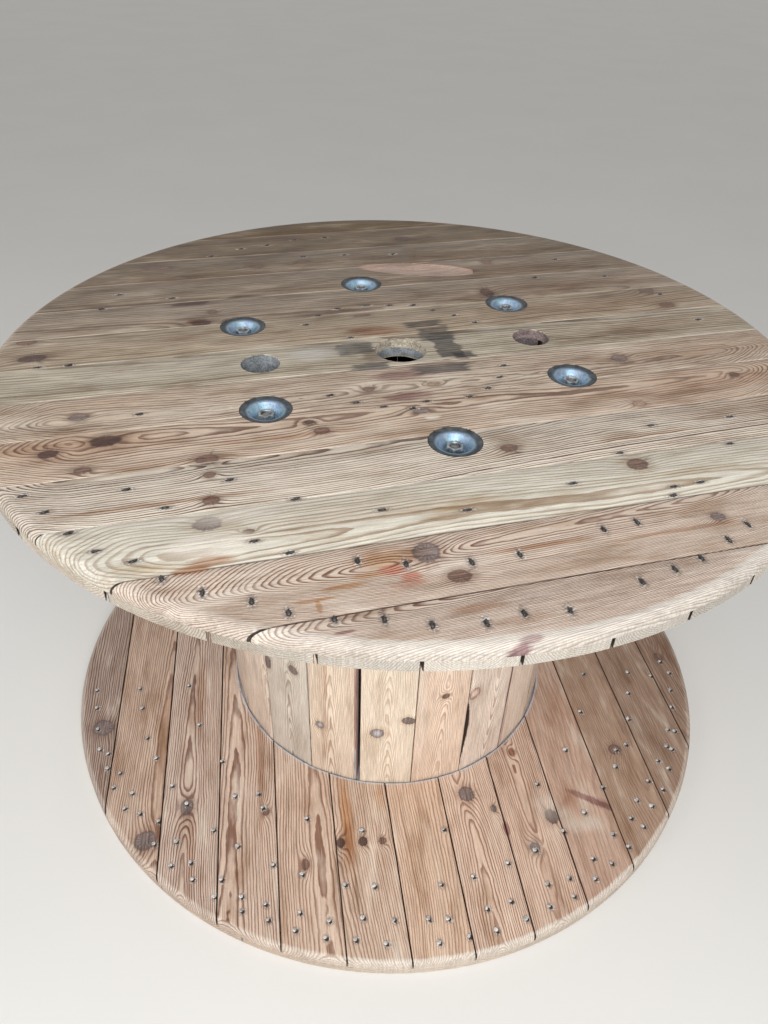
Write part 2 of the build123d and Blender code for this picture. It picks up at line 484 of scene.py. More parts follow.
    light = fibre.swing(1.15) + fleck.swing(0.3) + blotch.swing(look["mottle"]) + 1.0
    if layer:
        light = light + tint.swing(0.3)
    brightness = start.node("ShaderNodeCombineXYZ", None, {0: light, 1: light, 2: light})
    colour = colour.vector_math("MULTIPLY", brightness)
    shader.inputs["Specular IOR Level"].default_value = 0.22
    finish_material(shader, colour, fibre.swing(0.25) + look["roughness"], fibre + late * 0.5, 0.30 * MM)
    return material


def new_object(name, vertices, faces, material=None):
    mesh = bpy.data.meshes.new(name)
    mesh.from_pydata([tuple(v) for v in vertices], [], faces)
    mesh.validate()
    made = bpy.data.objects.new(name, mesh)
    bpy.context.scene.collection.objects.link(made)
    if material:
        mesh.materials.append(material)
    return made


def circle(centre, reach, height, count, turn=0.0):
    """Points round a place. The reach gives their distance for an angle from the turn on."""
    points = []
    for k in range(count):
        angle = 2 * math.pi * k / count
        r = reach(angle)
        x, y = r * math.cos(angle + turn), r * math.sin(angle + turn)
        points.append((centre[0] + x, centre[1] + y, height))
    return points


def lathe(profile, segments, centre=(0, 0)):
    """Turns (radius, height) points round Z. The loop closes on the axis or on itself."""
    vertices, faces, rows = [], [], []
    for r, z in profile:
        if r == 0:
            rows.append([len(vertices)] * segments)
            vertices.append((*centre, z))
        else:
            rows.append(range(len(vertices), len(vertices) + segments))
            vertices += circle(centre, lambda angle: r, z, segments)
    on_axis = profile[0][0] == 0
    pairs = list(zip(rows, rows[1:])) + ([] if on_axis else [(rows[-1], rows[0])])
    for lower, upper in pairs:
        for k in range(segments):
            n = (k + 1) % segments
            corners = [lower[k], lower[n], upper[n], upper[k]]
            faces.append([c for i, c in enumerate(corners) if c != corners[i - 1]])
    return vertices, faces


def loft(sections, looped=False):
    """Joins rings of as many points each. The two ends are closed, or else joined in a loop."""
    count = len(sections[0])
    vertices = [point for section in sections for point in section]
    total = len(vertices)
    faces = []
    for first in range(0, total if looped else total - count, count):
        after = (first + count) % total
        for k in range(count):
            n = (k + 1) % count
            faces.append((first + k, first + n, after + n, after + k))
    if not looped:
        faces.append(tuple(reversed(range(count))))
        faces.append(tuple(range(total - count, total)))
    return vertices, faces


def joined(parts):
    """Several (vertices, faces) as one."""
    vertices, faces = [], []
    for more_vertices, more_faces in parts:
        start = len(vertices)
        vertices += list(more_vertices)
        faces += [tuple(start + corner for corner in face) for face in more_faces]
    return vertices, faces


def face_outwards(made):
    work = bmesh.new()
    work.from_mesh(made.data)
    bmesh.ops.recalc_face_normals(work, faces=work.faces)
    work.to_mesh(made.data)
    work.free()


def smooth(made, sharp_over=32):
    made.data.shade_smooth()
    made.data.set_sharp_from_angle(angle=math.radians(sharp_over))


def mounted(made, slot, *nodes):
    """Parents a finished piece to the root body, and hides the CAD nodes that it takes the place of."""
    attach(made, "root")
    if nodes:
        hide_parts(*nodes)


def tree_with(name, inputs):
    """A geometry tree and its named inputs."""
    tree = bpy.data.node_groups.new(name, "GeometryNodeTree")
    for label, kind in inputs.items():
        tree.interface.new_socket(label, in_out="INPUT", socket_type=f"NodeSocket{kind}")
    tree.interface.new_socket("Geometry", in_out="OUTPUT", socket_type="NodeSocketGeometry")
    return tree, tree.nodes.new("NodeGroupInput").outputs


def add_node(tree, kind, settings=None, sockets=None, output=0):
    """Adds a node to a geometry tree: its settings first, then the values or links of its sockets."""
    made = tree.nodes.new(kind)
    for name, value in (settings or {}).items():
        setattr(made, name, value)
    for key, value in (sockets or {}).items():
        for source in (value if isinstance(value, list) else [value]):
            if isinstance(source, bpy.types.NodeSocket):
                tree.links.new(source, made.inputs[key])
            else:
                made.inputs[key].default_value = source
    return made.outputs[output] if made.outputs else None


def finish_tree(tree, shape, finish):
    """Ends a tree: the shape is made real and gets its material."""
    real = add_node(tree, "GeometryNodeRealizeInstances", None, {0: shape})
    sockets = {"Geometry": real, "Material": finish}
    coated = add_node(tree, "GeometryNodeSetMaterial", None, sockets)
    add_node(tree, "NodeGroupOutput", None, {0: coated})
    return tree


def sawing_tree():
    """Planks, sawn to a disc's outline and bored."""
    inputs = {"Planks": "Geometry", "Disc": "Object", "Bores": "Object", "Finish": "Material"}
    tree, entry = tree_with("Sawn and bored boards", inputs)
    disc = add_node(tree, "GeometryNodeObjectInfo", None, {0: entry["Disc"]}, "Geometry")
    bores = add_node(tree, "GeometryNodeObjectInfo", None, {0: entry["Bores"]}, "Geometry")
    saw_cut = {"operation": "INTERSECT", "solver": "MANIFOLD"}
    sawn = add_node(tree, "GeometryNodeMeshBoolean", saw_cut, {1: [entry["Planks"], disc]})
    bore_cut = {"operation": "DIFFERENCE", "solver": "MANIFOLD"}
    bored = add_node(tree, "GeometryNodeMeshBoolean", bore_cut, {0: sawn, 1: bores})
    return finish_tree(tree, bored, entry["Finish"])


def scatter_tree():
    """One small piece, set on points, each turned, tilted and sized a little differently."""
    inputs = {"Points": "Geometry", "Piece": "Object", "Seed": "Int", "Finish": "Material"}
    sizes = ("Least Turn", "Most Turn", "Tilt", "Least Size", "Most Size")
    tree, entry = tree_with("Driven nails", inputs | dict.fromkeys(sizes, "Float"))

    def chance(low, high, extra):
        """A random number for each point; the extra keeps the numbers apart."""
        sockets = {0: entry["Seed"], 1: extra}
        seed = add_node(tree, "FunctionNodeIntegerMath", {"operation": "ADD"}, sockets)
        sockets = {2: low, 3: high, "Seed": seed}
        return add_node(tree, "FunctionNodeRandomValue", {"data_type": "FLOAT"}, sockets, 1)

    tilt = entry["Tilt"]
    lean_back = add_node(tree, "ShaderNodeMath", {"operation": "MULTIPLY"}, {0: tilt, 1: -1.0})
    turn = chance(entry["Least Turn"], entry["Most Turn"], 0)
    sockets = {0: chance(lean_back, tilt, 1), 1: chance(lean_back, tilt, 2), 2: turn}
    angles = add_node(tree, "ShaderNodeCombineXYZ", None, sockets)
    sockets = {
        "Points": entry["Points"],
        "Instance": add_node(tree, "GeometryNodeObjectInfo", None, {0: entry["Piece"]}, "Geometry"),
        "Rotation": add_node(tree, "FunctionNodeEulerToRotation", None, {0: angles}),
        "Scale": chance(entry["Least Size"], entry["Most Size"], 3),
    }
    placed = add_node(tree, "GeometryNodeInstanceOnPoints", None, sockets)
    return finish_tree(tree, placed, entry["Finish"])


def grown(name, base, tree, values):
    """The plain mesh that a tree makes of an object, which is used up."""
    modifier = base.modifiers.new(tree.name, "NODES")
    modifier.node_group = tree
    for item in tree.interface.items_tree:
        if item.item_type == "SOCKET" and item.in_out == "INPUT" and item.name in values:
            modifier[item.identifier] = values[item.name]
    bpy.context.view_layer.update()
    scene_now = bpy.context.evaluated_depsgraph_get()
    mesh = bpy.data.meshes.new_from_object(base.evaluated_get(scene_now), depsgraph=scene_now)
    mesh.name = name
    bpy.data.objects.remove(base)
    if not mesh.materials:
        mesh.materials.append(values["Finish"])
    made = bpy.data.objects.new(name, mesh)
    bpy.context.scene.collection.objects.link(made)
    return made


def rim_disc(name, face, back, rim, worn_round):
    """The round outline of a layer, its rim rounded or eased on the face that shows."""
    out = 1 if face > back else -1
    eased = 0.5 * MM
    profile = [(0, back), (radius - eased, back), (radius, back + out * eased)]
    steps = 7 if worn_round else 1
    for k in range(steps + 1):
        angle = math.pi / 2 * k / steps
        sunk = rim - rim * math.sin(angle)
        profile.append((radius - rim + rim * math.cos(angle), face - out * sunk))
    profile.append((0, face))
    made = new_object(name, *lathe(profile, 360))
    face_outwards(made)
    return made


# The bed of a washer and the bore of its rod, as (radius, depth) under the flange's face
washer_bed = ((41.6, 3.6), (27.0, 6.2), (16.0, 22.9), (8.6, 22.9))


def bore_cutters(name, face, back):
    """Everything that is bored into a flange from its outer face, as one cutter."""
    into = -1 if face > back else 1
    past = 10 * MM
    mouth = face - into * past
    beyond = back + into * past
    eased = 1.2 * MM
    parts = []
    holes = [((0, 0), spindle_radius, 72)] + [((x, 0), drive_radius, 60) for x in drive_places]
    for centre, r, segments in holes:
        edge = [(r + eased + past, mouth), (r, face + into * eased)]
        parts.append(lathe([(0, mouth), *edge, (r, beyond), (0, beyond)], segments, centre))
    bed = [(r * MM, face + into * depth * MM) for r, depth in washer_bed]
    profile = [(0, mouth), (bed[0][0], mouth), *bed, (bed[-1][0], beyond), (0, beyond)]
    parts += [lathe(profile, 64, place) for place in rod_places]
    floor = back - into * groove_depth
    outer = core_radius + groove_clearance
    inner = core_radius * math.cos(math.pi / stave_count) - stave_thickness - groove_clearance
    parts.append(lathe([(inner, floor), (outer, floor), (outer, beyond), (inner, beyond)], 168))
    made = new_object(name, *joined(parts))
    face_outwards(made)
    return made


def gouge_cutter():
    """The long hollow that is worn into the top at the back, deepest at its right end."""
    start, end = Vector((-15, 400)), Vector((250, 318))
    along = (end - start).normalized()
    across = Vector((-along.y, along.x))
    steps, points = 24, 14
    sections = []
    for k in range(steps + 1):
        share = k / steps
        fullness = math.sin(math.pi * min(1.0, 0.03 + share ** 1.35 * 0.94)) ** 0.55
        half_width = 4 + 31 * fullness
        depth = 0.4 + 7.0 * share ** 0.7 * fullness
        middle = start + (end - start) * share
        hollow = [(math.cos(math.pi * j / points), 0.5 - depth * math.sin(math.pi * j / points))
                  for j in range(points + 1)]
        section = []
        for aside, above in hollow + [(-1, 6), (1, 6)]:
            at = middle + across * half_width * aside
            section.append((at.x * MM, at.y * MM, top_face + above * MM))
        sections.append(section)
    made = new_object("gouge cutter", *loft(sections))
    face_outwards(made)
    return made


def plank(face, back, width, direction, place, seed, cup):
    """A sawn plank across the whole flange: cupped, and its long edges unevenly eased."""
    out = 1 if face > back else -1
    depth = abs(face - back)
    reach = radius + 20 * MM
    turn = Matrix.Rotation(direction, 3, "Z")
    half = width / 2
    back_ease = 0.5 * MM
    steps = 70

    def edge(side, edge_noise, ease_noise):
        """The corner between a long edge and the face that shows, from the edge inwards."""
        ease = (0.6 + 0.4 * ease_noise) * MM
        brink = side * (half - abs(edge_noise) * 0.35 * MM)
        arc = [math.radians(angle) for angle in (0, 45, 90)]
        return [(brink - side * ease * (1 - math.cos(a)), ease * (1 - math.sin(a))) for a in arc]

    sections = []
    for k in range(steps + 1):
        along = -reach + 2 * reach * k / steps
        uneven = [noise.noise(Vector((along * 9, 7.3 * seed + side, 1.5))) for side in range(4)]
        section = edge(-1, *uneven[:2])
        for j in range(1, 8):
            across = half * (-1 + j / 4)
            section.append((across, cup * MM * (1 - (across / half) ** 2)))
        section += edge(1, *uneven[2:])[::-1]
        section += [(half, depth - back_ease), (half - back_ease, depth)]
        section += [(-half + back_ease, depth), (-half, depth - back_ease)]
        ring = []
        for across, down in section:
            at = turn @ Vector((along, across + place, 0))
            ring.append((at.x, at.y, face - out * down))
        sections.append(ring)
    return loft(sections)


saw = sawing_tree()
scatter = scatter_tree()


def sawn_piece(name, planks, disc, bores, material, slot, node, gouge=None):
    """Planks that are sawn round and bored, in one piece."""
    base = new_object(name + " planks", *joined(planks))
    face_outwards(base)
    if gouge:
        modifier = base.modifiers.new("Gouge", "BOOLEAN")
        modifier.operation = "DIFFERENCE"
        modifier.solver = "MANIFOLD"
        modifier.object = gouge
    made = grown(name, base, saw, {"Disc": disc, "Bores": bores, "Finish": material})
    smooth(made)
    mounted(made, slot, node)


def flange_board(direction, place, face, width, seed, out=1):
    """The place of a flange's board, for its material."""
    turn = Matrix.Rotation(direction, 3, "Z")
    along = turn @ Vector((1, 0, 0))
    across = turn @ Vector((0, 1, 0)) * out
    origin = turn @ Vector((0, place, face))
    return Board(origin, along, across, Vector((0, 0, out)), width, seed)


def on_board(board, spots, margin):
    """The spots of a flange that lie on one board, in the board's own millimetres."""
    found = []
    for spot in spots:
        own = board.own((spot[0] * MM, spot[1] * MM, board.origin.z))
        if abs(own.y) < board.width / MM / 2 + margin:
            found.append((own.x, own.y, *spot[2:]))
    return found


def face_boards(side, layer, face, joint, direction, width, seeds, cups, spots, look_of, helpers):
    """The boards of a flange that show, each a piece of its own."""
    board_seed, plank_seed, cup_seed = seeds
    disc, bores, gouge = helpers
    for number in range(1, board_count + 1):
        place = (number - 1 - middle_place) * board_pitch
        board = flange_board(direction, place, face, width, board_seed + number)
        found = [on_board(board, kind, margin) for kind, margin in spots]
        material = pine(f"{side} pine {number:02d}", board, look_of(number), *found)
        worn = gouge if number in gouged_boards else None
        cup = 0 if worn else random.Random(cup_seed + number).uniform(*cups)
        planks = [plank(face, joint, width, direction, place, plank_seed + number, cup)]
        sawn_piece(
            f"{side}_board_{number:02d}", planks, disc, bores, material, f"{side}_face_pine",
            f"{side}_{layer}_board_{number:02d}", worn)


def hidden_boards(side, layer, face, joint, direction, width, first_seed, board, look, bores):
    """The crossed boards behind those that show, in one piece."""
    disc = rim_disc(f"{side} {layer} disc", face, joint, sawn_rim, False)
    planks = []
    for number in range(board_count):
        place = (number - middle_place) * board_pitch
        planks.append(plank(face, joint, width, direction, place, first_seed + number, 0.1))
    look = {"rim_from": 684.0, "rim_full": 696.0, "rim_side_power": 0.35, "ring_width": 3.0, **look}
    material = pine(f"{side} {layer} pine", board, look, layer=True)
    sawn_piece(
        f"{side}_{layer}_layer", planks, disc, bores, material, f"{side}_{layer}_pine",
        f"{side}_{layer}_boards")
    bpy.data.objects.remove(disc)


def between(share, low, high):
    return tuple(a + (b - a) * share for a, b in zip(low, high))


look_columns = ("early", "late", "contrast", "pith_across", "pith_depth", "ring_width", "taper")


def looks(*rows):
    """What single boards' looks have of their own, from rows of a number and the columns' values."""
    found = {}
    for number, *values in rows:
        pairs = zip(look_columns, values)
        found[number] = {name: value for name, value in pairs if value is not None}
    return found


# Knots of the top: x, y, half length, half width, kind
top_knots = (
    (-398, 463, 26, 9, BROWN), (-197, 432, 14, 8, BROWN), (-96, 440, 13, 8, BROWN),
    (154, 538, 16, 14, DARK), (-346, 267, 34, 9, DARK), (-309, 221, 9, 7, BROWN),
    (-333, 178, 19, 11, DARK), (240, 206, 14, 20, DARK), (298, 365, 11, 11, BROWN),
    (571, 154, 17, 14, BROWN), (576, 79, 16, 11, BROWN), (-634, 158, 17, 10, BROWN),
    (-620, 95, 24, 12, DARK), (-34, 152, 16, 5, BROWN), (370, -108, 15, 13, GREY),
    (538, -206, 9, 8, BROWN), (-538, -115, 15, 9, GREY), (-499, -190, 21, 15, DARK),
    (-576, -208, 14, 10, DARK), (-528, -259, 12, 7, BROWN), (-202, -202, 8, 6, DARK),
    (-187, -230, 12, 10, BROWN), (-89, -123, 11, 8, BROWN), (-24, -206, 14, 8, GREY),
    (-360, -269, 16, 12, BROWN), (-360, -307, 9, 7, BROWN), (-363, -365, 11, 9, BROWN),
    (-372, -413, 20, 13, GREY), (72, -334, 13, 10, BROWN), (326, -259, 12, 8, TAN),
    (237, -413, 16, 13, BROWN), (-115, -528, 18, 18, GREY), (-89, -578, 14, 11, BROWN),
    (283, -547, 10, 8, GREY), (-446, -551, 10, 6, GREY),
    (-323, -440, 8, 5, BROWN), (20, -128, 11, 6, TAN),
)

# Marks of the top: x, y, half length, half width, kind, strength, softness. A negative
# half width makes a rectangle. The soot is left round the hole by a square plate.
top_marks = (
    (-76, 20, 33, -22, SOOT, 0.95, 0.12), (-64, -50, 34, -13, SOOT, 0.90, 0.18),
    (-50, -14, 20, -26, BURN, 0.60, 0.4), (70, 92, 36, -13, SOOT, 0.90, 0.18),
    (78, 50, 30, -26, SOOT, 0.85, 0.2), (84, -10, 24, -44, SOOT, 0.98, 0.14),
    (104, -40, 20, -12, SOOT, 0.9, 0.2), (52, -82, 50, -14, SOOT, 0.95, 0.14),
    (-30, -88, 44, 14, PLUM, 0.85, 0.5), (40, -60, 40, 8, BURN, 0.6, 0.4),
    (-20, 80, 44, 17, RUST, 0.75, 0.4), (-55, 90, 24, 10, RUST, 0.75, 0.4),
    (-30, -158, 38, 11, PLUM, 0.9, 0.3), (-155, 16, 42, 22, DUSTY, 0.55, 0.5),
    (-400, 10, 220, 30, BLEACHED, 0.25, 0.8), (-372, -455, 52, 22, BLEACHED, 0.85, 0.4),
    (-14, -228, 12, 5, BLEACHED, 0.9, 0.4), (-330, -405, 70, 14, BLEACHED, 0.5, 0.7),
    (-164, -550, 17, 9, REDDENED, 0.95, 0.35), (-145, -565, 13, 8, REDDENED, 0.95, 0.4),
    (-150, -578, 22, 4, REDDENED, 0.6, 0.5), (-165, -528, 40, 14, ORANGE, 0.75, 0.6),
    (-398, -497, 24, 7, RUST, 0.95, 0.35), (-370, -485, 26, 9, RUST, 0.85, 0.4),
    # The browned oval at x 238, y 322 is painted shade in the deep right end of the gouge.
    (-434, -507, 12, 3, BURN, 1.0, 0.3), (238, 322, 20, 11, BROWNED, 0.85, 0.5),
    (-343, 270, 30, 7, BROWNED, 0.9, 0.3), (-340, 187, 18, 7, BROWNED, 0.9, 0.4),
    (-264, -579, 26, 2.8, ORANGE, 0.95, 0.4), (-227, -564, 26, 3.2, ORANGE, 0.95, 0.4),
    (-194, -552, 24, 4, ORANGE, 0.9, 0.4), (-262, -590, 3.5, 11, ORANGE, 0.9, 0.4),
    (-85, -632, 36, 6, BROWNED, 0.7, 0.5), (-45, -662, 34, 7, BROWNED, 0.45, 0.6),
    (-242, -635, 11, 2.4, PLUM, 1.0, 0.3), (-74, -701, 17, 4.5, PLUM, 0.95, 0.35),
    (-58, -696, 15, 4.5, PLUM, 0.95, 0.35), (-44, -690, 14, 5, PLUM, 0.8, 0.4),
    (-500, -85, 120, 24, BROWNED, 0.30, 0.8), (-375, 120, 40, 6, RUST, 0.55, 0.6),
    (300, -345, 90, 4, BROWNED, 0.75, 0.6), (-420, -358, 150, 4, BROWNED, 0.75, 0.5),
    (30, -548, 70, 4, BROWNED, 0.9, 0.5), (215, -560, 90, 3.5, BROWNED, 0.7, 0.5),
    (-230, -235, 120, 5, BROWNED, 0.7, 0.6), (-560, -195, 130, 30, BROWNED, 0.6, 0.7),
    (-110, -25, 60, 10, BURN, 0.3, 0.7), (-180, -430, 120, 30, BROWNED, 0.25, 0.8),
    (520, -215, 190, 32, BROWNED, 0.55, 0.9), (430, 110, 230, 34, BROWNED, 0.5, 0.9),
    (540, -300, 170, 30, BROWNED, 0.5, 0.9), (520, -110, 190, 34, BROWNED, 0.5, 0.9),
    (520, 0, 190, 34, BROWNED, 0.5, 0.9), (380, 220, 220, 34, BROWNED, 0.5, 0.9),
    (330, 325, 200, 34, BROWNED, 0.5, 0.9),
    (-337, -627, 3, 20, BLEACHED, 0.95, 0.3), (-60, 600, 200, 24, BROWNED, 0.4, 0.8),
    (160, 430, 260, 26, BROWNED, 0.35, 0.8), (-330, 380, 160, 22, BROWNED, 0.4, 0.8),
)

# Where clenched nail tips show on the top: x, y
top_tips = (
    (-602, -302), (-470, -317), (-335, -325), (-572, -344), (-422, -368), (-254, -387),
    (-541, -394), (-508, -436), (-464, -465), (-318, -460), (-148, -435), (-38, -460),
    (125, -436), (303, -473), (249, -492), (261, -474), (-279, -492), (-432, -503),
    (-388, -537), (-202, -524), (-146, -543), (-67, -558), (-4, -558), (121, -537),
    (171, -533), (312, -570), (269, -592), (-335, -564), (-297, -592), (-249, -613),
    (-195, -626), (-145, -647), (-85, -658), (-38, -653), (15, -661), (120, -637),
    (171, -626), (214, -615), (226, -382), (311, -323), (402, -395), (448, -327),
    (-115, 168), (-75, 190), (-14, 194), (29, 186), (75, 177), (-146, 132), (106, 147),
    (139, 117), (-118, -161), (-79, -182), (-36, -197), (-8, -180), (65, -180),
    (104, -161), (137, -130), (-154, -130), (168, 79), (-77, 64), (158, -93),
    (-92, 575), (-21, 578), (-158, 552), (-218, 540), (-285, 508), (-91, 469), (0, 463),
    (108, 448), (-478, 336), (-379, 300), (-512, 275), (368, 262), (455, 350),
    (520, 240), (590, 130), (600, 5), (-560, 58), (-450, -125), (-610, 60),
)

gouged_boards = (9, 10, 11)
# Boards 1 to 8 have colours of their own, darker from the front board to the back: painted shade over the
# boards' own tone.
top_special = looks(
    (1, (0.60, 0.495, 0.41), (0.17, 0.085, 0.060), None, 4, -9, 3.1),
    (2, (0.58, 0.47, 0.38), (0.16, 0.078, 0.053), None, -8, -9, 3.2),
    (3, (0.61, 0.575, 0.49), (0.28, 0.19, 0.120), 0.8, -30, -22, 6.0),
    (4, (0.61, 0.53, 0.44), (0.095, 0.052, 0.036), 1.0, 60, None, 5.0),
    (5, (0.53, 0.415, 0.32), (0.115, 0.056, 0.036), None, 26, -14, 5.6),
    (6, (0.48, 0.385, 0.30), (0.10, 0.056, 0.038), None, -12, -10, 6.2),
    (7, (0.39, 0.34, 0.26), (0.13, 0.090, 0.060), 0.9),
    (8, (0.34, 0.27, 0.195), (0.105, 0.066, 0.042)),
    *((number,) for number in range(9, board_count + 1)),
)
top_special[1].update(pith_slant=0.09, wander=16)
top_special[2].update(pith_slant=0.06, wander=24)
top_special[3].update(bend_from=625.0, patch_dark=(0.80, 0.66, 0.50), upper_joint=(0.80, 0.73, 0.62))
top_special[4].update(bend_from=625.0)
top_special[6].update(ripple=9.0)
# The walls of board 7's three holes, darker than the wood: dust, and painted shade in the holes.
bore_walls = ((-1000, (0.17, 0.19, 0.21)), (-150, (0.36, 0.31, 0.24)), (150, (0.155, 0.115, 0.115)))
top_special[7].update(patch=0.9, bores=bore_walls)
for number in gouged_boards:
    top_special[number].update(hollow=(0.50, 0.33, 0.26))


def top_board_look(number):
    """The top is painted darker and browner towards the back and paler and warmer at the front: partly
    painted shade for the light that falls off towards the back, partly the boards' own tone.
    """
    share = (number - 1) / (board_count - 1)
    draw = random.Random(400 + number)
    # The colours below darken from the front board to the back: painted shade over the boards' own tone and
    # the dust in the joints.
    dusty_joint_shaded_to_back = between(share, (0.84, 0.76, 0.66), (0.42, 0.35, 0.27))
    look = {
        "early": between(share, (0.57, 0.485, 0.405), (0.112, 0.072, 0.036)),
        "late": between(share, (0.14, 0.078, 0.054), (0.050, 0.029, 0.017)),
        "contrast": 1.0 - 0.5 * share,
        "mottle": 0.4 + 0.9 * share,
        "patch_pale": between(share, (0.66, 0.61, 0.54), (0.24, 0.19, 0.135)),
        "rim": between(share, (0.60, 0.565, 0.515), (0.34, 0.28, 0.21)),
        "rim_late": between(share, (0.34, 0.25, 0.18), (0.18, 0.13, 0.09)),
        "rim_from": 683.0,
        "rim_full": 687.0,
        "rim_side_power": 0.25,
        "bend_from": 575.0 if number < 7 else 690.0,
        "fibre": 2.0 + 4.5 * share,
        "bores": ((-1000, (0.20, 0.185, 0.17)),),
        "joint": 0.9 if number < 3 else 0.65,
        "joint_colour": (0.05, 0.03, 0.024) if number < 4 else dusty_joint_shaded_to_back,
        "joint_width": 0.9 if number < 4 else 1.4,
        "ring_width": draw.uniform(4.4, 5.2) + 4.0 * share,
        "taper": draw.choice((-1, 1)) * draw.uniform(0.02, 0.04),
        "roughness": 0.56,
        "nail_spot": (4.0, 7.4) if number < 3 else (7.6, 3.1),
    }
    tone = draw.uniform(0.92, 1.08)
    look["early"] = tuple(c * tone for c in look["early"])
    return {**look, **top_special[number]}


def make_top():
    disc = rim_disc("top disc", top_face, top_joint, top_rim_round, True)
    bores = bore_cutters("top bores", top_face, top_underside)
    gouge = gouge_cutter()
    spots = ((top_knots, 20), (top_marks, 45), (top_tips, 3))
    face_boards(
        "top", "outer", top_face, top_joint, top_direction, board_width, (100, 0, 0), (-0.25, 0.35),
        spots, top_board_look, (disc, bores, gouge))
    width = board_pitch - top_inner_gap
    board = flange_board(crossing, 0, top_underside, width, 3, out=-1)
    look = {
        "early": (0.45, 0.385, 0.30), "late": (0.22, 0.15, 0.10), "rim": (0.56, 0.53, 0.48),
        "rim_late": (0.34, 0.27, 0.21), "pith_depth": 45, "taper": 0.03,
        "bores": ((-1000, (0.17, 0.19, 0.21)), (150, (0.13, 0.10, 0.10))),
    }
    hidden_boards("top", "inner", top_underside, top_joint, crossing, width, 40, board, look, bores)
    for helper in (disc, bores, gouge):
        bpy.data.objects.remove(helper)


# Knots of the bottom flange's upper face: x, y, half length, half width, kind
bottom_knots = (
    (-571, -350, 20, 20, GREY), (-490, -298, 17, 13, GREY), (-650, -67, 20, 22, GREY),
    (-283, -470, 11, 8, BROWN), (-211, -444, 10, 9, DARK), (-169, -451, 9, 8, DARK),
    (-132, -459, 7, 7, BROWN), (59, -403, 17, 16, GREY), (149, -542, 10, 10, GREY),
    (206, -490, 16, 12, DARK), (403, -379, 12, 14, BROWN), (100, -447, 8, 6, GREY),
    (630, -170, 14, 10, BROWN), (184, -333, 8, 6, RED), (-340, -345, 9, 7, BROWN),
    (-280, 320, 14, 12, BROWN), (150, 420, 15, 12, BROWN), (420, 280, 13, 11, GREY),
    (-520, 260, 15, 12, BROWN), (30, 560, 14, 12, GREY),
)

bottom_marks = (
    (-189, -400, 92, 13, ORANGE, 0.85, 0.45), (-196, -440, 40, 8, BROWNED, 0.7, 0.5),
    (-116, -371, 34, 9, ORANGE, 0.6, 0.6), (297, -474, 26, 14, PLUM, 0.9, 0.25, 1.32),
    (314, -487, 13, 10, PLUM, 0.45, 0.4), (250, -467, 15, 11, BROWNED, 0.35, 0.7, -0.9),
    (205, -470, 30, 22, BLEACHED, 0.35, 0.7), (240, -500, 24, 16, BLEACHED, 0.5, 0.7),
    (270, -522, 16, 30, BLEACHED, 0.45, 0.7), (109, -492, 15, 8, PLUM, 0.95, 0.3),
    (-520, -90, 130, 10, BROWNED, 0.6, 0.6), (-440, -20, 90, 10, BROWNED, 0.6, 0.6),
    (-490, -400, 90, 8, BROWNED, 0.5, 0.6), (255, -470, 40, 20, BROWNED, 0.4, 0.6),
    (340, -250, 60, 30, BROWNED, 0.35, 0.8), (-330, -180, 200, 7, BROWNED, 0.6, 0.6),
    (480, -330, 40, 30, BURN, 0.3, 0.8), (149, -542, 16, 15, DUSTY, 0.22, 0.7),
)

# Where nail heads show on the bottom flange's upper face: x, y
bottom_heads = (
    (-667, 42), (-666, -8), (-663, -66), (-658, -120), (-642, -170), (-641, -134),
    (-630, -218), (-609, -271), (-580, -289), (-594, -240), (-617, -187), (-574, 25),
    (-570, -31), (-561, -113), (-545, -168), (-466, 8), (-452, -105), (-516, -242),
    (-413, -209), (-527, -410), (-545, -314), (-556, -360), (-515, -365), (-490, -290),
    (-444, -358), (-396, -295), (-350, -301), (-346, -334), (-403, -402), (-491, -413),
    (-490, -446), (-454, -487), (-439, -459), (-407, -499), (-410, -525), (-367, -523),
    (-343, -454), (-366, -552), (-310, -553), (-294, -485), (-265, -377), (-323, -581),
    (-262, -579), (-274, -606), (-221, -523), (-203, -589), (-169, -539), (-224, -622),
    (-150, -606), (-174, -641), (-166, -427), (-50, -565), (-90, -619), (-56, -627),
    (-84, -662), (-30, -665), (-11, -463), (13, -566), (17, -627), (20, -667),
    (64, -625), (79, -661), (129, -651), (85, -557), (142, -612), (186, -611),
    (180, -645), (146, -546), (215, -523), (206, -415), (232, -624), (246, -588),
    (277, -605), (273, -496), (307, -552), (324, -583), (335, -454), (298, -353),
    (374, -269), (358, -530), (373, -552), (412, -516), (389, -497), (384, -416),
    (404, -379), (432, -372), (434, -463), (453, -488), (470, -312), (479, -424),
    (491, -447), (523, -406), (516, -396), (554, -366), (542, -358), (429, -171),
    (534, -191), (505, -247), (582, -306), (605, -262), (629, -216), (626, -180),
    (582, -214),
)

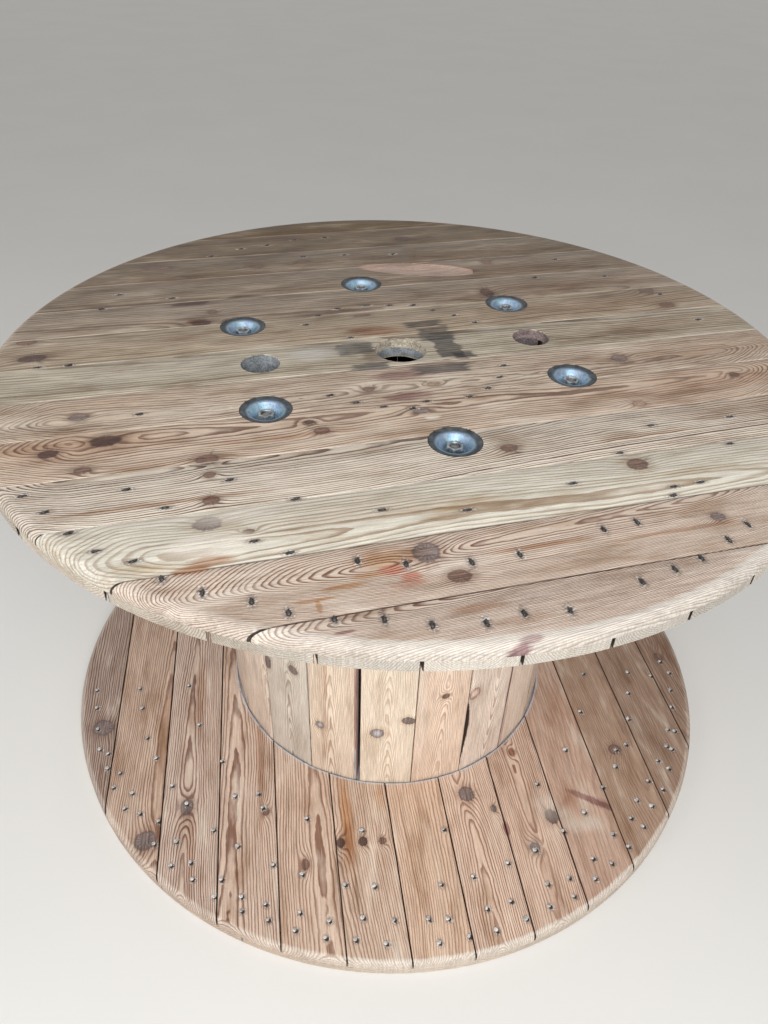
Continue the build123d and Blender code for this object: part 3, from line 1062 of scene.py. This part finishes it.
# Boards 1 to 4 lie towards the right of the bottom flange and grow darker towards its right edge: painted
# shadow.
bottom_special = looks(
    (1, (0.30, 0.200, 0.145), (0.15, 0.088, 0.060), 0.7),
    (2, (0.315, 0.21, 0.150), (0.19, 0.115, 0.080), 0.5),
    (3, (0.385, 0.26, 0.185), (0.22, 0.130, 0.088), 0.6, None, None, 3.6),
    (4, (0.49, 0.335, 0.255), (0.29, 0.170, 0.120), 0.5, None, 60),
    (5, (0.62, 0.455, 0.355), (0.25, 0.130, 0.080), 0.95, 5, 16, 3.8),
    (6, (0.65, 0.485, 0.38), (0.25, 0.130, 0.082), 0.95, 12, 16, 3.6),
    (7, (0.63, 0.46, 0.345), (0.27, 0.145, 0.085), 0.85, None, 60),
    (8, (0.58, 0.435, 0.335), (0.22, 0.115, 0.075), 0.9, None, 60),
    (9, (0.60, 0.45, 0.35), (0.23, 0.120, 0.080), 0.9, -20),
    (10, (0.58, 0.44, 0.35), (0.21, 0.110, 0.076), 0.95, 30),
    (11, (0.56, 0.435, 0.355), (0.17, 0.085, 0.062), 1.0, 4, 12, 3.8),
    (12, (0.54, 0.40, 0.31), (0.20, 0.100, 0.066), 0.85),
    (13, (0.38, 0.285, 0.235), (0.12, 0.062, 0.047), 0.95),
)


def bottom_board_look(number):
    draw = random.Random(700 + number)
    look = {
        "rim": (0.66, 0.60, 0.53), "rim_late": (0.42, 0.32, 0.24), "rim_from": 689.0,
        "rim_full": 693.0, "rim_side_power": 0.3, "joint": 0.6, "joint_width": 0.8,
        "joint_colour": (0.06, 0.04, 0.03), "ring_width": draw.uniform(3.9, 4.9),
        "taper": draw.choice((-1, 1)) * draw.uniform(0.015, 0.035), "nail_spot": (4.6, 4.4),
        # The pits are shifted aside of the nail heads: a painted shadow beside each head.
        "nail_pit_shadow_shift": (-3.2, -2.6), "groove_dust": (0.46, 0.48, 0.52),
        "joint_deep": (0.11, 0.072, 0.055) if number < 5 else (0.040, 0.027, 0.021),
    }
    return {**look, **bottom_special[number]}


def make_bottom():
    disc = rim_disc("bottom disc", bottom_upper_face, bottom_joint, lower_rim_round, True)
    bores = bore_cutters("bottom bores", 0, bottom_upper_face)
    spots = ((bottom_knots, 20), (bottom_marks, 30), (bottom_heads, 3))
    face_boards(
        "bottom", "inner", bottom_upper_face, bottom_joint, crossing + lower_turn,
        board_pitch - inner_gap, (200, 20, 60), (-0.2, 0.3), spots, bottom_board_look, (disc, bores, None))
    board = flange_board(lower_turn, 0, 0, board_pitch, 5, out=-1)
    look = {
        "early": (0.48, 0.35, 0.25), "late": (0.25, 0.14, 0.085), "rim": (0.58, 0.50, 0.41),
        "rim_late": (0.36, 0.26, 0.18), "pith_depth": 40, "taper": -0.03,
    }
    hidden_boards("bottom", "outer", 0, bottom_joint, lower_turn, board_width, 80, board, look, bores)
    for helper in (disc, bores):
        bpy.data.objects.remove(helper)


# Knots of the core: angle in degrees, height, half height, half width, kind
core_knots = (
    (-137.2, 312, 11, 11, GREY), (-147.8, 290, 18, 8, GREY), (-127.9, 183, 11, 9, ASH),
    (-108.9, 195, 14, 14, ASH), (-99.5, 237, 10, 13, GREY), (-88.0, 292, 7, 8, BROWN),
    (-77.8, 275, 15, 14, PALE), (-52.0, 300, 12, 10, BROWN), (-30.0, 500, 13, 11, BROWN),
    (10.0, 350, 12, 10, GREY), (48.0, 600, 13, 12, BROWN), (90.0, 240, 12, 11, GREY),
    (130.0, 520, 13, 11, BROWN), (165.0, 330, 12, 11, DARK), (-175.0, 610, 12, 10, BROWN),
)
core_marks = (
    (-125.6, 330, 60, 3.0, BROWNED, 0.55, 0.6), (-126.1, 240, 50, 2.4, BROWNED, 0.45, 0.6),
    # The plum strips at -62.9 and -61.6 are a painted shadow line along the joint of staves 1 and 2.
    (-126.8, 120, 60, 2.8, BROWNED, 0.35, 0.6), (-62.9, 240, 70, 3.6, PLUM, 0.7, 0.4),
    (-61.6, 120, 80, 3.2, PLUM, 0.7, 0.4), (-95.9, 330, 90, 6.0, BLEACHED, 0.35, 0.5),
    (-94.8, 200, 110, 4.0, BLEACHED, 0.35, 0.5), (-79.0, 210, 50, 5.0, PLUM, 0.35, 0.7),
    (-115.85, 240, 170, -2.7, PLUM, 0.95, 0.15), (-115.85, 90, 55, -2.7, DUSTY, 0.8, 0.3),
)
shrunk_stave, shrunk_loss = 19, 7 * MM
waney_stave, wane_depth, wane_low, wane_high = 1, 9.5 * MM, 46 * MM, 258 * MM
core_special = looks(
    (1, (0.80, 0.68, 0.58), (0.42, 0.27, 0.19), None, -10, 12, None, -0.06),
    (2,),
    (18, (0.64, 0.57, 0.485), (0.30, 0.21, 0.150), None, -8, 12),
    (19, (0.75, 0.62, 0.49), (0.36, 0.21, 0.130), None, 6, 12, None, 0.06),
    (20, (0.79, 0.675, 0.545), (0.45, 0.29, 0.175), 0.7, 1, 11, None, 0.07),
    (21, (0.78, 0.61, 0.48), (0.42, 0.25, 0.165), None, -3, 10, None, 0.06),
)
# Stave 2's wide reddish joint colour is painted shadow, along its joint with stave 1 and its other joint
# alike.
core_special[2].update(joint=0.9, joint_width=5.0, joint_colour=(0.17, 0.085, 0.065))
# The faces of the shrunk stave deeper than about 2 mm, its side seen through the gap among them, are painted
# pale: painted light on a face that the lamps reach only at a graze.
core_special[19].update(inside=(0.58, 0.40, 0.35))


def stave_middle(number):
    return first_joint + (number + 0.5) * 2 * math.pi / stave_count


def stave_mesh(number):
    """An upright plank of the core with planed edges that point at the axis."""
    half_angle = math.pi / stave_count
    outer = core_radius * math.cos(half_angle)
    inner = outer - stave_thickness
    margin = stave_gap / 2 / math.cos(half_angle)
    outer_half = outer * math.tan(half_angle) - margin
    inner_half = inner * math.tan(half_angle) - 0.15 * MM
    ease = 1.2 * MM
    loss = shrunk_loss if number == shrunk_stave else 0.0
    turn = Matrix.Rotation(stave_middle(number), 3, "Z")
    steps, across_steps = 64, 6
    sections = []
    for k in range(steps + 1):
        z = stave_low + (stave_high - stave_low) * k / steps
        missing = 0.0
        if number == waney_stave and wane_low < z < wane_high:
            share = (z - wane_low) / (wane_high - wane_low)
            missing = wane_depth * math.sin(math.pi * share ** 1.55) ** 0.8
            missing += 0.6 * MM * noise.noise(Vector((z * 60, 3, 1)))
        rough = [noise.noise(Vector((z * 8, number * 3.7 + side, 9))) * 0.25 * MM for side in range(2)]
        low = -outer_half + max(missing, 0) + abs(rough[0])
        high = outer_half - loss - abs(rough[1])
        outline = [
            (inner, -inner_half + max(missing - 2 * MM, 0)), (outer - ease, low),
            (outer - 0.3 * ease, low + 0.3 * ease),
        ]
        for j in range(across_steps + 1):
            outline.append((outer, low + ease + (high - low - 2 * ease) * j / across_steps))
        outline += [
            (outer - 0.3 * ease, high - 0.3 * ease), (outer - ease, high), (inner, inner_half - loss),
        ]
        sections.append([tuple(turn @ Vector((distance, side, z))) for distance, side in outline])
    return loft(sections)


def on_stave(spots, middle):
    """The spots of the core that lie on one stave, in the stave's own millimetres."""
    found = []
    for angle, z, *rest in spots:
        aside = math.remainder(math.radians(angle) - middle, 2 * math.pi)
        if abs(aside) < math.pi / stave_count + 0.03:
            found.append((z, -aside * core_radius / MM, *rest))
    return found


def make_core():
    face = core_radius * math.cos(math.pi / stave_count)
    for number in range(1, stave_count + 1):
        middle = stave_middle(number)
        out = Vector((math.cos(middle), math.sin(middle), 0))
        across = Vector((math.sin(middle), -math.cos(middle), 0))
        board = Board(out * face, Vector((0, 0, 1)), across, out, 103 * MM, 300 + number)
        draw = random.Random(900 + number)
        tone = draw.uniform(0.92, 1.06)
        # Faces deeper than about 2 mm, the inner face and the sides of the gaps, are painted near-black:
        # painted shade.
        look = {
            "early": tuple(c * tone for c in (0.75, 0.62, 0.51)),
            "late": tuple(c * tone for c in (0.32, 0.19, 0.13)),
            "contrast": draw.uniform(0.70, 0.85), "joint": 0.35, "joint_width": 1.4, "patch": 0.3,
            "ring_width": draw.uniform(2.6, 3.3), "taper": 0.04, "inside": (0.075, 0.055, 0.042),
            "joint_deep": (0.075, 0.045, 0.034), **core_special.get(number, {}),
        }
        knots, marks = on_stave(core_knots, middle), on_stave(core_marks, middle)
        material = pine(f"stave pine {number:02d}", board, look, knots, marks)
        made = new_object(f"stave_{number:02d}", *stave_mesh(number), material)
        face_outwards(made)
        smooth(made)
        mounted(made, "stave_pine", f"core_stave_{number:02d}")


def zinc_material():
    """Galvanised sheet, bright in the bowl and grimy on the rim, with painted shade round the nut."""
    material, shader, start = new_material("dished washer zinc")
    place = place_field(start)
    from_hole = start.node("ShaderNodeAttribute", {"attribute_name": "from_hole"}, None, 2)
    cells = {"Vector": place, "Scale": 260.0, "Randomness": 1.0}
    spangle = start.node("ShaderNodeTexVoronoi", {"feature": "F1"}, cells, 1)
    cloud = place.noise(70.0, 4.0, 0.6)
    grain = place.noise(900.0, 2.0, 0.6)
    clean = mix_colour(cloud.step(0.35, 0.7), (0.15, 0.23, 0.31), (0.30, 0.44, 0.58))
    clean = mix_colour(grain.step(0.2, 0.8) * 0.2, clean, spangle)
    grime = mix_colour(cloud.step(0.3, 0.75), (0.016, 0.02, 0.024), (0.085, 0.098, 0.11))
    dirty = (from_hole + cloud.swing(12)).step(26.5, 34.0)
    colour = mix_colour(dirty, clean, grime)
    rusty = (cloud + grain.swing(0.4)).step(0.66, 0.74) * 0.6
    colour = mix_colour(rusty, colour, (0.20, 0.10, 0.06))
    # Painted shade: the bowl is darker round the nut's seat.
    seat = from_hole.step(18.0, 13.0) * 0.7
    colour = mix_colour(seat, colour, (0.05, 0.052, 0.055))
    roughness = dirty * 0.25 + cloud * 0.25 + 0.34
    metallic = 0.75 - dirty * 0.35 - rusty * 0.4
    finish_material(shader, colour, roughness, grain + cloud, 0.25 * MM, metallic)
    return material


def nut_material():
    material, shader, start = new_material("nut plated steel")
    place = place_field(start)
    cloud = place.noise(120.0, 4.0, 0.6)
    grain = place.noise(1200.0, 2.0, 0.6)
    colour = mix_colour(cloud.step(0.3, 0.7), (0.13, 0.14, 0.15), (0.36, 0.40, 0.43))
    colour = mix_colour(cloud.step(0.58, 0.66) * 0.6, colour, (0.22, 0.11, 0.06))
    finish_material(shader, colour, 0.28 + cloud * 0.3, grain, 0.2 * MM, 0.8 - cloud.step(0.5, 0.7) * 0.4)
    return material


def rod_material():
    material, shader, start = new_material("tie rod steel")
    place = place_field(start)
    cloud = place.noise(90.0, 4.0, 0.65)
    grain = place.noise(1100.0, 2.0, 0.6)
    colour = mix_colour(cloud.step(0.35, 0.65), (0.07, 0.066, 0.062), (0.26, 0.26, 0.25))
    colour = mix_colour(grain.step(0.58, 0.7) * 0.4, colour, (0.22, 0.13, 0.08))
    finish_material(shader, colour, 0.55 + cloud * 0.25, grain, 0.25 * MM, 0.35)
    return material


def nail_material():
    material, shader, start = new_material("nail steel")
    place = place_field(start)
    cloud = place.noise(260.0, 3.0, 0.6)
    colour = mix_colour(cloud.step(0.35, 0.7), (0.30, 0.29, 0.28), (0.80, 0.79, 0.77))
    colour = mix_colour(cloud.step(0.60, 0.68) * 0.5, colour, (0.20, 0.11, 0.07))
    finish_material(shader, colour, 0.45 + cloud * 0.3, cloud, 0.2 * MM, 0.3)
    return material


def tip_material():
    material, shader, start = new_material("nail tip steel")
    place = place_field(start)
    cloud = place.noise(300.0, 3.0, 0.6)
    colour = mix_colour(cloud.step(0.4, 0.7), (0.025, 0.025, 0.026), (0.10, 0.10, 0.10))
    finish_material(shader, colour, 0.45 + cloud * 0.3, cloud, 0.2 * MM, 0.5)
    return material


# The washer's section as (radius, depth) under the flange's face
washer_section = (
    (8.8, 20.0), (15.2, 20.0), (16.6, 19.5), (17.6, 18.2), (26.9, 4.6), (27.9, 3.4), (29.4, 2.8),
    (39.6, 0.75), (40.7, 0.75), (41.1, 1.2), (41.3, 2.3), (40.8, 3.1), (40.2, 3.2), (30.4, 5.2),
    (29.0, 6.2), (19.4, 20.6), (18.2, 21.9), (16.4, 22.5), (8.8, 22.5),
)


def make_washers(name, face, into, node, material):
    """Dished washers in one piece, a little dented. The material reads how far off the hole is."""
    profile = [(r * MM, face + into * depth * MM) for r, depth in washer_section]
    parts, reach = [], []
    for number, place in enumerate(rod_places):
        warp = random.Random(f"{name}{number}").uniform(0, 6.28)
        vertices, faces = lathe(profile, 72, place)
        dented = []
        for x, y, z in vertices:
            away = Vector((x, y)) - place
            angle = math.atan2(away.y, away.x)
            dent = 0.22 * MM * math.sin(2 * angle + warp) * max(0, away.length / MM - 30) / 11
            dented.append((x, y, z + into * abs(dent)))
            reach.append(away.length / MM)
        parts.append((dented, faces))
    made = new_object(name, *joined(parts), material)
    values = made.data.attributes.new("from_hole", "FLOAT", "POINT")
    values.data.foreach_set("value", reach)
    face_outwards(made)
    smooth(made, 40)
    mounted(made, "washer_zinc", node)


# The nut's section: height over its seat, share of the corners that is left, thread's radius
nut_section = (
    (0.0, 0.90, 8.9), (0.9, 1.0, 8.2), (11.4, 1.0, 8.2), (12.4, 0.955, 8.6), (13.0, 0.88, 9.3),
)


def hexagon_nut(face, into, centre, turn):
    """A nut with six flats, turned-off corners and a countersunk thread."""
    flat, seat, count = 12.0, 20.0, 48
    corner = flat / math.cos(math.pi / 6)
    outside, inside = [], []
    for level, fullness, thread in nut_section:
        z = face + into * (seat - level) * MM

        def six_sided(angle):
            off_flat = math.remainder(angle, math.pi / 3)
            return min(flat / math.cos(off_flat), corner * fullness) * MM

        outside.append(circle(centre, six_sided, z, count, turn))
        inside.append(circle(centre, lambda angle: thread * MM, z, count, turn))
    return loft(outside + inside[::-1], looped=True)


def make_nuts(name, face, into, node, material):
    parts = []
    for number, place in enumerate(rod_places):
        turn = random.Random(f"{name}{number}").uniform(0, 1.0)
        parts.append(hexagon_nut(face, into, place, turn))
    made = new_object(name, *joined(parts), material)
    face_outwards(made)
    smooth(made, 28)
    mounted(made, "nut_steel", node)


def threaded_rod(number, place, material):
    """A round bar with a rolled thread at each end."""
    pitch, thread_depth, threaded, chamfer = 2.0 * MM, 0.9 * MM, 32 * MM, 1.2 * MM
    steps = int(threaded / pitch * 5)
    heights = [rod_low] + [rod_low + chamfer + threaded * k / steps for k in range(steps + 1)]
    middle = (rod_low + rod_high) / 2
    heights += [middle] + [2 * middle - z for z in reversed(heights)]
    sections = []
    for z in heights:
        from_end = min(z - rod_low, rod_high - z)

        def reach(angle):
            if from_end < 1.0 * MM:
                return rod_radius - 1.1 * MM
            if from_end > threaded:
                return rod_radius
            turns = z / pitch - angle / (2 * math.pi)
            return rod_radius - thread_depth * (1 - abs(2 * (turns - math.floor(turns)) - 1))

        sections.append(circle(place, reach, z, 32))
    made = new_object(f"threaded_tie_rod_{number:02d}", *loft(sections), material)
    face_outwards(made)
    smooth(made, 50)
    mounted(made, "rod_steel", f"tie_rod_{number:02d}")


def nail_head():
    """A flat round head on a short stub of its nail."""
    profile = [
        (0, 1.2), (1.8, 1.1), (3.0, 0.7), (3.6, 0.1), (3.4, -0.6), (1.9, -0.8), (1.7, -2.6), (0, -2.8),
    ]
    made = new_object("nail head", *lathe([(r * MM, z * MM) for r, z in profile], 12))
    face_outwards(made)
    made.data.shade_smooth()
    return made


def clenched_tip():
    """The point of a nail that came through and was hammered over."""
    path = (
        (-4.0, -2.5, 1.6), (-3.4, 0.0, 1.9), (-1.5, 0.55, 2.0), (2.0, 0.35, 1.8), (5.0, 0.0, 1.3),
        (7.5, -0.6, 0.5),
    )
    sections = []
    for x, z, half in path:
        ring = []
        for k in range(6):
            angle = 2 * math.pi * k / 6
            ring.append((x * MM, half * MM * math.cos(angle), (z + 0.7 * half * math.sin(angle)) * MM))
        sections.append(ring)
    made = new_object("clenched tip", *loft(sections))
    face_outwards(made)
    made.data.shade_smooth()
    return made


def driven(name, spots, height, piece, finish, upside_down=False, **values):
    """Nails at some places of a flange, on its upper or under side."""
    points = new_object(name + " points", [(x * MM, y * MM, 0) for x, y in spots], [])
    made = grown(name, points, scatter, {"Piece": piece, "Finish": finish, **values})
    if upside_down:
        made.data.transform(Matrix.Scale(-1, 4, (0, 0, 1)))
        made.data.flip_normals()
    made.data.transform(Matrix.Translation((0, 0, height)))
    made.data.shade_smooth()
    mounted(made, "nut_steel")


def make_metal():
    zinc, plated, rolled = zinc_material(), nut_material(), rod_material()
    make_washers("top_dished_washers", top_face, -1, "top_washers", zinc)
    make_washers("bottom_dished_washers", 0, 1, "bottom_washers", zinc)
    make_nuts("top_hexagon_nuts", top_face, -1, "top_nuts", plated)
    make_nuts("bottom_hexagon_nuts", 0, 1, "bottom_nuts", plated)
    for number, place in enumerate(rod_places, start=1):
        threaded_rod(number, place, rolled)
    head, tip = nail_head(), clenched_tip()
    steel, dark = nail_material(), tip_material()
    tips = {"Tilt": 0.06, "Least Size": 0.8, "Most Size": 1.1}
    slanted = {"Least Turn": 0.0, "Most Turn": 0.7, **tips}
    upright = {"Least Turn": 1.3, "Most Turn": 1.9, **tips}
    heads = {"Least Turn": 0.0, "Most Turn": 6.0, "Tilt": 0.30, "Least Size": 0.8, "Most Size": 1.3}
    front_tips = [spot for spot in top_tips if spot[1] < -500]
    other_tips = [spot for spot in top_tips if spot[1] >= -500]
    driven("top_front_nail_tips", front_tips, top_face, tip, dark, Seed=4, **upright)
    driven("top_nail_tips", other_tips, top_face, tip, dark, Seed=5, **slanted)
    driven("top_nail_heads", top_tips, top_underside, head, steel, True, Seed=8, **heads)
    driven("bottom_nail_heads", bottom_heads, bottom_upper_face, head, steel, Seed=15, **heads)
    flush = 2.6 * MM
    driven("bottom_nail_tips", bottom_heads, flush, tip, dark, True, Seed=16, **slanted)
    bpy.data.objects.remove(head)
    bpy.data.objects.remove(tip)


def make_stage():
    floor = new_object("floor", [(-30, -30, 0), (30, -30, 0), (30, 30, 0), (-30, 30, 0)], [(0, 1, 2, 3)])
    material, shader, start = new_material("pale floor")
    cloud = place_field(start).noise(1.5, 3.0)
    colour = mix_colour(cloud, (0.70, 0.69, 0.665), (0.76, 0.75, 0.725))
    finish_material(shader, colour, 0.7)
    floor.data.materials.append(material)


def soft_lamp(name, place, aim, size, watts, colour=(1, 1, 1)):
    lamp = bpy.data.lights.new(name, "AREA")
    lamp.shape = "SQUARE"
    lamp.size = size
    lamp.energy = watts
    lamp.color = colour
    made = bpy.data.objects.new(name, lamp)
    made.location = place
    made.rotation_euler = (Vector(aim) - Vector(place)).to_track_quat("-Z", "Y").to_euler()
    bpy.context.scene.collection.objects.link(made)


def make_light():
    world = bpy.data.worlds.new("soft studio")
    world.use_nodes = True
    tree = world.node_tree
    start = Field(tree)
    camera_ray, glossy_ray, transmitted_ray = (
        start.node("ShaderNodeLightPath", None, None, ray) for ray in (0, 3, 6))
    strength = 0.42 + (camera_ray + glossy_ray + transmitted_ray) * 0.58
    background = tree.nodes["Background"]
    background.inputs["Color"].default_value = (1.0, 0.99, 0.975, 1.0)
    tree.links.new(strength.socket, background.inputs["Strength"])
    bpy.context.scene.world = world
    soft_lamp("window", (-0.5, -2.9, 2.5), (0, -0.3, 0.45), 2.0, 106, (0.98, 0.99, 1.0))
    soft_lamp("room", (-2.6, -1.0, 2.2), (0, 0, 0.4), 2.0, 26, (0.98, 0.99, 1.0))


def make_camera():
    """The photograph's own view, found from the drum's circles."""
    azimuth, down, roll = math.radians(15.99), math.radians(38.46), math.radians(1.99)
    ahead = Vector((math.sin(azimuth) * math.cos(down), math.cos(azimuth) * math.cos(down), -math.sin(down)))
    level = ahead.cross(Vector((0, 0, 1))).normalized()
    raised = level.cross(ahead)
    right = level * math.cos(roll) + raised * math.sin(roll)
    up = raised * math.cos(roll) - level * math.sin(roll)
    lens = bpy.data.cameras.new("photograph")
    lens.sensor_width = 36
    lens.lens = 27.70
    camera = bpy.data.objects.new("photograph", lens)
    axes = Matrix((right, up, -ahead)).transposed().to_4x4()
    camera.matrix_world = Matrix.Translation((-0.3686, -1.2154, 1.4710)) @ axes
    bpy.context.scene.collection.objects.link(camera)
    bpy.context.scene.camera = camera


make_stage()
make_light()
make_camera()
make_top()
make_bottom()
make_core()
make_metal()

bpy.context.scene.view_settings.view_transform = "Standard"
